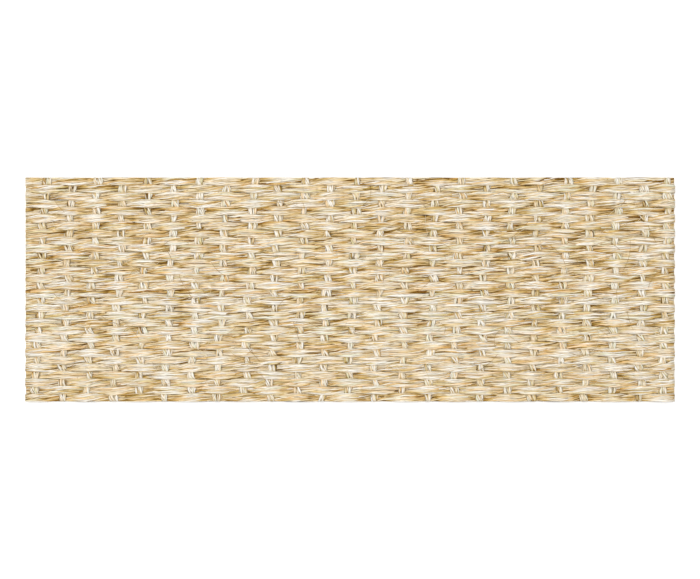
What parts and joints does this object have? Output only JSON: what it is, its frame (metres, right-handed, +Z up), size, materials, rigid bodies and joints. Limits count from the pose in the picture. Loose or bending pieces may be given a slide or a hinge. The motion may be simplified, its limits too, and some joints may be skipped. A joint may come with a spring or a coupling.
{
  "type": "sisal rug",
  "caption": "Flat rectangular length of plain-woven sisal: paired weft yarns over and under narrow, spaced warp ends, cut square on all sides and lying flat on a floor.",
  "frame": {"origin": "middle of the flat underside, on the floor", "axes": "+X along the weft, the long side of the cut length; +Y along the warp, away from the viewer; +Z up, out of the woven face"},
  "size_m": [0.29, 0.1, 0.0044],
  "materials": {
    "sisal": "undyed straw and cream plant fibre, loosely spun, matt with a soft lustre along the fibres"
  },
  "bodies": {
    "root": {"sisal_rug": "sisal"}
  },
  "joints": []
}
